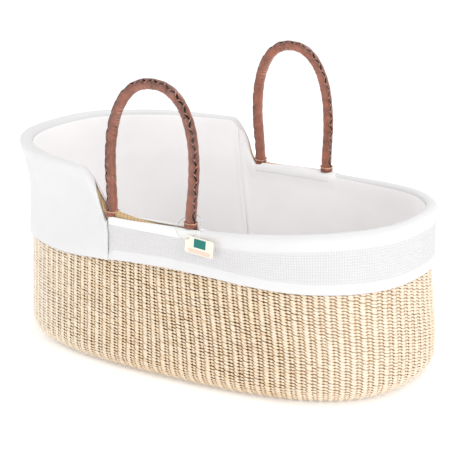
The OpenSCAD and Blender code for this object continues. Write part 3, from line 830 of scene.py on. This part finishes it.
VOXEL, FRAMES = 0.006, 20
def settled(o, pressure, cap, low, high):
    """Lets a closed piece swell as cloth, with no point moving further than cap or leaving the levels low to high."""
    o.modifiers.new("remesh", "REMESH").mode = "VOXEL"
    o.modifiers["remesh"].voxel_size = VOXEL
    me = bpy.data.meshes.new_from_object(o.evaluated_get(bpy.context.evaluated_depsgraph_get()))
    o.modifiers.clear()
    o.data = me
    rest = np.empty(len(me.vertices) * 3)
    me.vertices.foreach_get("co", rest)
    cloth = o.modifiers.new("cloth", "CLOTH")
    cloth.settings.quality = 5
    cloth.settings.mass = 0.3
    cloth.settings.use_pressure = True
    cloth.settings.uniform_pressure_force = pressure
    cloth.settings.effector_weights.gravity = 0
    cloth.collision_settings.use_collision = False
    cloth.point_cache.frame_end = FRAMES
    for k in range(1, FRAMES + 1):
        scene.frame_set(k)
    done = o.evaluated_get(bpy.context.evaluated_depsgraph_get()).to_mesh()
    co = np.empty(len(rest))
    done.vertices.foreach_get("co", co)
    o.modifiers.clear()
    scene.frame_set(1)
    move = (co - rest).reshape(-1, 3)
    size = np.linalg.norm(move, axis=1)[:, None]
    p = rest.reshape(-1, 3) + move * np.minimum(1, cap / np.maximum(size, 1e-9))
    p[:, 2] = np.clip(p[:, 2], low, high)
    me.vertices.foreach_set("co", p.astype(np.float32).ravel())
    me.polygons.foreach_set("use_smooth", np.full(len(me.polygons), True))
    me.update()
    o.modifiers.new("smooth", "SUBSURF").levels = 1
    o.modifiers["smooth"].render_levels = 1

def mattress():
    lo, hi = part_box("fitted_sheet")
    n = 200
    t = all_round(n)
    h = hi.z - lo.z
    # it starts a little smaller than its room, and swells
    start = 0.0035
    def ring(inset, z, k=1.0):
        return drawn_in(at(t, -EDGE - start - inset, FULLEST), k, z)
    P = [ring(0.012, lo.z + 0.0005, k) for k in (0.01, 0.3, 0.6, 0.85)]
    for g in np.linspace(-90, 90, 13):
        c, d = math.cos(math.radians(g)), math.sin(math.radians(g))
        # the piped edges stand out a little above and below the side
        pipe = 0.0016 * (math.exp(-((abs(g) - 62) / 14) ** 2))
        P.append(ring(0.012 * (1 - c ** 0.8) - pipe, lo.z + h / 2 + (h / 2 - 0.0005) * d))
    P += [ring(0.012, hi.z - 0.0005 + 0.003 * (1 - k * k), k) for k in (0.97, 0.9, 0.75, 0.55, 0.3, 0.01)]
    P = np.stack(P, 1)
    V, Q, _ = patch(P, wrap_u=True)
    # a fan of quads closes the middle of each face
    fan = [np.full(n // 2 - 1, 0), np.arange(1, n - 1, 2), np.arange(2, n, 2), np.arange(3, n + 1, 2) % n]
    cap = np.stack(fan, -1) * P.shape[1]
    Q = np.concatenate([Q, cap[:, ::-1], cap + P.shape[1] - 1])
    o = build("sheeted_mattress", V, Q, None, None, sheet_cloth, None, ["fitted_sheet", "mattress_foam"], "sheet")
    settled(o, 4.0, 0.006, lo.z + 0.0002, hi.z + 0.004)
    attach(o, "mattress")
mattress()

# ---------------------------------------------------------------- handles
ARCH_Z, TALL, LEAN, GRIP = 0.086, 0.230, math.radians(2.5), 0.0096
ROOT = {"foot": 0.0098, "head": 0.0142}

def handle_line(span):
    """Evenly spaced points (x, z) of a handle's middle line in its own plane, and the length along it."""
    f = np.linspace(0, 1, 60)[:-1]
    out = span / 2 + 0.0045
    legs = np.stack([mix(span / 2, out, smooth(f)), ARCH_Z * f], -1)
    g = np.linspace(0, pi, 500)
    arch = np.stack([out * spow(np.cos(g), 2 / 2.3), ARCH_Z + (TALL - ARCH_Z) * spow(np.sin(g), 2 / 2.3)], -1)
    first, last = [[span / 2, -ROOT["foot"]]], [[-span / 2, -ROOT["head"]]]
    p = np.concatenate([first, legs, arch, (legs * [-1, 1])[::-1], last])
    d = lengths(p)
    s = np.linspace(0, d[-1], 760)
    return np.stack([np.interp(s, d, p[:, 0]), np.interp(s, d, p[:, 1])], -1), s

def turned(v):
    """An angle brought into the range -pi to pi."""
    return np.mod(v + pi, 2 * pi) - pi

# how far the seam is turned from the arch's outside, in degrees, at places along the handle
TURN_AT = [0, 0.1, 0.25, 0.5, 0.7, 0.85, 1.0]
TURN = {"front": [26, 32, 48, 44, 58, 70, 74], "rear": [22, 24, 28, 36, 48, 58, 66]}
# outline of the sleeve at a leg's foot: radius and height
SLEEVE = [(0.0104, -0.0122), (0.0116, -0.0118), (0.0119, -0.0100), (0.0117, -0.0060), (0.0114, -0.0032),
          (0.0108, -0.0026), (0.0099, -0.0030)]

def handle(word, sign):
    """sign is -1 for the front handle and 1 for the rear one."""
    body = word + "_handle"
    h = hinge[body]
    span = SPAN[word]
    line, s = handle_line(span)
    d = np.gradient(line, s, axis=0)
    d /= np.linalg.norm(d, axis=1)[:, None]
    def place(x, y, z):
        """Own frame (x along the basket, y across, z up the handle) to the row frame."""
        lean = LEAN * sign
        x, y, z = np.broadcast_arrays(x, y, z)
        cl, sl = math.cos(lean), math.sin(lean)
        return np.stack([h.x + x, h.y + y * cl - z * sl, h.z + y * sl + z * cl], -1)
    def on_tube(i_s, r, phi):
        """Point at arc place i_s, radius r and angle phi from the arch's outside, towards -Y."""
        px, pz = np.interp(i_s, s, line[:, 0]), np.interp(i_s, s, line[:, 1])
        dx, dz = np.interp(i_s, s, d[:, 0]), np.interp(i_s, s, d[:, 1])
        o, c = r * np.cos(phi), -r * np.sin(phi)
        return place(px + o * dz, c, pz - o * dx)
    def rooted(o):
        """Bakes the piece's placement into its mesh."""
        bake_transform(o)
    total = s[-1]
    # the seam starts on the foot-side leg's outside and turns towards the front along the arch
    turn = np.interp(s / total, TURN_AT, np.radians(TURN[word]))
    # the seam zigzags once in every 24.5 mm
    step = 0.0245
    zig = 2 * np.abs(np.mod(s / step + 0.13 * np.sin(s * 23), 1) - 0.5) * 2 - 1
    zig = np.convolve(np.pad(zig, 3, mode="edge"), np.ones(7) / 7, "valid")
    seam = turn + np.radians(14) * zig
    n_phi = 96
    phi = np.linspace(-pi, pi, n_phi + 1)[:-1][None, :] + turn[:, None]
    arc = turned(phi - seam[:, None]) * 0.010
    gap = 0.0008 + 0.0005 * (1 - np.abs(zig[:, None]) ** 3)
    crack = np.exp(-((arc / gap) ** 2))
    lips = np.exp(-(((np.abs(arc) - gap * 1.7) / 0.0011) ** 2))
    over = np.exp(-(((arc - gap * 2.4) / 0.0022) ** 2))
    gape = 0.35 + 0.65 * smooth(0.5 + 0.9 * np.sin(s * 61 + 2) + 0.6 * np.sin(s * 143))[:, None]
    crack = crack * gape
    rr = np.random.default_rng(5 + sign)
    crease = 0
    for _ in range(70):
        c0, p0, w = rr.uniform(0.03, 0.97) * total, rr.uniform(-pi, pi), rr.uniform(0.0008, 0.0020)
        tilt, reach = rr.uniform(-0.006, 0.006), rr.uniform(0.4, 1.0)
        dp = turned(phi - p0)
        mark = -(((s[:, None] - c0 - tilt * dp) / w) ** 2) - (dp / reach) ** 2
        crease = crease + rr.uniform(0.3, 1.0) * np.exp(mark)
    # short cross pleats where the leather is pressed together inside the bend
    bend = smooth((s / total - 0.22) / 0.12) * smooth((0.78 - s / total) / 0.12)
    phase = s / 0.0064 * 2 * pi + 2.6 * np.sin(s / 0.019) + 1.7 * np.sin(s / 0.0071)
    pleat = (0.5 + 0.5 * np.sin(phase))[:, None] ** 2
    pleat = pleat * (bend * (0.25 + 0.75 * smooth(0.5 + 0.8 * np.sin(s * 71 + sign))))[:, None]
    back = np.exp(-((turned(phi - turn[:, None] - 1.75) / 0.55) ** 2))
    back = back + 0.6 * np.exp(-((turned(phi - pi) / 0.8) ** 2))
    # the leather's radius, with its hollows and ridges
    lump = 0.00022 * np.sin(s * 310 + 1.0)[:, None] + 0.00018 * np.sin(2 * phi + s[:, None] * 90)
    r = GRIP + lump - 0.0026 * crack + 0.0010 * lips + 0.0004 * over - 0.0004 * crease - 0.00040 * pleat * back
    P = on_tube(s[:, None], r, phi)
    # wear and painted highlight: one lip of the seam is lightened
    one_side = 0.16 + 0.5 * smooth(arc / 0.0008) * smooth(0.4 + np.sin(s * 37))[:, None]
    # the leather is darker where its two edges meet, partly a dark joint and partly painted shade; the seam's gap and
    # the creases are darkened as painted shade, the lips and the pleats' crests lightened as wear and painted
    # highlight, and the front handle's leather is a little darker in tone
    beside = np.exp(-((turned(phi - seam[:, None]) / 0.75) ** 2))
    wear_and_highlight = np.clip(one_side * lips + 0.34 * pleat * back + 0.16 * rr.random(P.shape[:2]), 0, 1) * (1 - 0.9 * crack)
    deep = 1.3 * crack + 0.4 * crease + 0.25 * np.exp(-((arc / 0.0042) ** 2)) + 0.34 * beside
    deep = np.clip(deep + (0.22 if sign < 0 else 0.0), 0, 1)
    tint = np.stack([wear_and_highlight, deep, 0 * deep], -1)
    V, Q, UV = patch(P, grid_uv(s, np.arange(n_phi + 1) * 0.0007), wrap_v=True, flip=True)
    hidden = [word + "_handle_leather", word + "_handle_core"]
    rooted(build(word + "_grip", V, Q, UV, tint, leather, None, hidden, "leather"))
    # the lace crosses the seam at each of its turns
    turns = s[1:-1][(np.abs(zig[1:-1]) >= np.abs(zig[:-2])) & (np.abs(zig[1:-1]) > np.abs(zig[2:]))]
    pieces = []
    for c0 in turns[(turns > 0.026) & (turns < total - 0.026)]:
        way = np.sign(np.interp(c0, s, zig))
        q = np.linspace(-1, 1, 9)
        base = np.interp(c0, s, seam)
        ss = c0 + q * 0.0032 * way
        ph = base + q * 0.36
        lift = 0.0098 + 0.0012 * np.sqrt(np.clip(1 - q * q * 0.96, 0, 1)) - 0.0004
        w = np.linspace(-1, 1, 5)[None, :]
        wide = 0.0016 * (1 - 0.4 * q ** 4)[:, None]
        pieces.append(on_tube(ss[:, None] + w * wide, lift[:, None] - 0.0005 * w ** 2, ph[:, None] + 0 * w))
    P = np.stack(pieces)
    quads = strokes(P, flip=True)
    tl = np.zeros(P.shape)
    # painted highlight: the lace is lightened along its middle
    tl[..., 0] = 0.10 + 0.25 * (1 - np.abs(np.linspace(-1, 1, 5)))[None, None, :]
    uv = np.zeros((quads.size, 2))
    rooted(build(word + "_lace", P, quads, uv, tl, leather, None, [word + "_handle_lacing"], "lacing"))
    # the sleeve that each leg comes up through, and the tan band on its edge
    g = np.linspace(0, 2 * pi, 49)[:-1]
    for leg, x0 in (("foot", span / 2), ("head", -span / 2)):
        wave = 1 + 0.025 * np.sin(g * 7 + x0 * 50)[:, None]
        low = ROOT[leg] - 0.0120
        prof = np.array(SLEEVE) - [0, low]
        rad, up = prof[None, :, 0], prof[None, :, 1]
        askew = 0.0012 * np.cos(g - 2.4)[:, None]
        tilt = askew * smooth((prof[:, 1] + low + 0.011) / 0.006)[None]
        P = place(x0 + np.cos(g)[:, None] * rad * wave, np.sin(g)[:, None] * rad * wave, tilt + up)
        V, Q, UV = patch(P, grid_uv(np.linspace(0, 0.07, 49), np.arange(7) * 0.003), wrap_u=True)
        tn = np.zeros(V.shape)
        tn[:, 1] = 0.30
        rooted(build(f"{word}_{leg}_sleeve", V, Q, UV, tn, leather, None, [word + "_handle_boots"], "lacing"))
        turn_ = np.linspace(0, 2 * pi, 9)[:-1][None, :]
        rad = 0.0114 * wave + 0.0011 * np.cos(turn_)
        up = askew - low - 0.0026 + 0.0010 * np.sin(turn_) + 0 * rad
        P = place(x0 + np.cos(g)[:, None] * rad, np.sin(g)[:, None] * rad, up)
        V, Q, UV = patch(P, grid_uv(np.linspace(0, 0.07, 49), np.linspace(0, 0.007, 9)), wrap_u=True, wrap_v=True)
        rooted(build(f"{word}_{leg}_band", V, Q, UV, np.zeros(V.shape), tan, None, [word + "_handle_bands"], "band"))

for word, sign in SIDES:
    handle(word, sign)
    recoat(word + "_handle_anchors", strap_leather)

# ---------------------------------------------------------------- tag and its loop
nylon, _, b = nodes_of("clear_nylon")
constants(b, Base_Color=(0.62, 0.64, 0.58, 1), Roughness=0.15, Transmission_Weight=0.35, IOR=1.5)

def tag_ring():
    """A closed nylon loop round the handle's foot-side leg and through the card; its route is in mm from the leg."""
    route = np.array([(6, -18, -22.8), (11, -16.2, -20.6), (16, -15.8, -17.3), (19.5, -15.3, -13.5),
                      (21.8, -13, -8.5), (22, -7, -4), (20, 2, 1), (15, 10, 5.5), (8, 14, 8.5), (0, 15, 9.5),
                      (-8, 14, 8.5), (-15, 10, 5.5), (-20, 2, 1), (-22, -7, -4), (-21.5, -14, -9),
                      (-17.5, -17.5, -16.2), (-8.5, -19.6, -23.0), (1, -19.9, -25.0)]) / 1000
    n = len(route)
    u = np.arange(0, n, 1 / 6)
    i, f = np.floor(u).astype(int), (u % 1)[:, None]
    p = [route[(i + k) % n] for k in (-1, 0, 1, 2)]
    squared, cubed = 2 * p[0] - 5 * p[1] + 4 * p[2] - p[3], 3 * p[1] - p[0] - 3 * p[2] + p[3]
    c = 0.5 * (2 * p[1] + (p[2] - p[0]) * f + squared * f ** 2 + cubed * f ** 3)
    d = np.roll(c, -1, 0) - np.roll(c, 1, 0)
    v = np.cross(d, [0, -0.7, 0.7])
    v /= np.linalg.norm(v, axis=1)[:, None]
    w = np.cross(v, d)
    w /= np.linalg.norm(w, axis=1)[:, None]
    g = np.linspace(0, 2 * pi, 11)[:-1][None, :, None]
    h = hinge["front_handle"]
    leg = np.array([h.x + SPAN["front"] / 2, h.y, h.z])
    P = leg + c[:, None] + 0.0005 * (v[:, None] * np.cos(g) + w[:, None] * np.sin(g))
    uv = grid_uv(np.arange(len(u) + 1) * 0.001, np.arange(11) * 0.0003)
    V, Q, UV = patch(P, uv, wrap_u=True, wrap_v=True, flip=True)
    ring = build("tag_ring", V, Q, UV, None, nylon, None, ["tag_loop"], "nylon")
    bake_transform(ring)
tag_ring()

def tag():
    """The card's finish, with a plain printed panel and three plain lines just in front of it."""
    p = hinge["tag"]
    card = plain_material("card", (0.93, 0.84, 0.72), 0.7)
    teal = plain_material("teal_print", (0.010, 0.19, 0.16), 0.6)
    rust = plain_material("rust_print", (0.72, 0.36, 0.26), 0.7)
    ca, sa = math.cos(math.radians(5)), math.sin(math.radians(5))
    def place(x, z):
        return (p.x + x * ca + z * sa, p.y - 0.00042, p.z - x * sa + z * ca)
    recoat("hang_tag", card)
    def block(name, x0, x1, z0, z1, mat):
        v = [place(x0, z0), place(x1, z0), place(x1, z1), place(x0, z1)]
        v += [(q[0], q[1] + 0.0001, q[2]) for q in v]
        f = [(0, 1, 2, 3), (7, 6, 5, 4), (0, 4, 5, 1), (1, 5, 6, 2), (2, 6, 7, 3), (3, 7, 4, 0)]
        build(name, v, f, None, None, mat, "tag", (), "card", smooth=False)
    block("tag_panel", 0.013, 0.037, -0.0130, 0.0028, teal)
    for i in range(3):
        block(f"tag_line_{i}", 0.001 + 0.001 * i, 0.047, -0.0180 - 0.0024 * i, -0.0172 - 0.0024 * i, rust)
tag()

# ---------------------------------------------------------------- floor
me = bpy.data.meshes.new("studio_floor")
me.from_pydata([(-8, -8, 0), (8, -8, 0), (8, 8, 0), (-8, 8, 0)], [], [(0, 1, 2, 3)])
fl = placed("studio_floor", me)
mfl, _, bf = nodes_of("pale_floor")
constants(bf, Base_Color=(0.93, 0.93, 0.93, 1), Roughness=0.9)
constants(bf, Emission_Color=(1, 1, 1, 1), Emission_Strength=0.22)
me.materials.append(mfl)
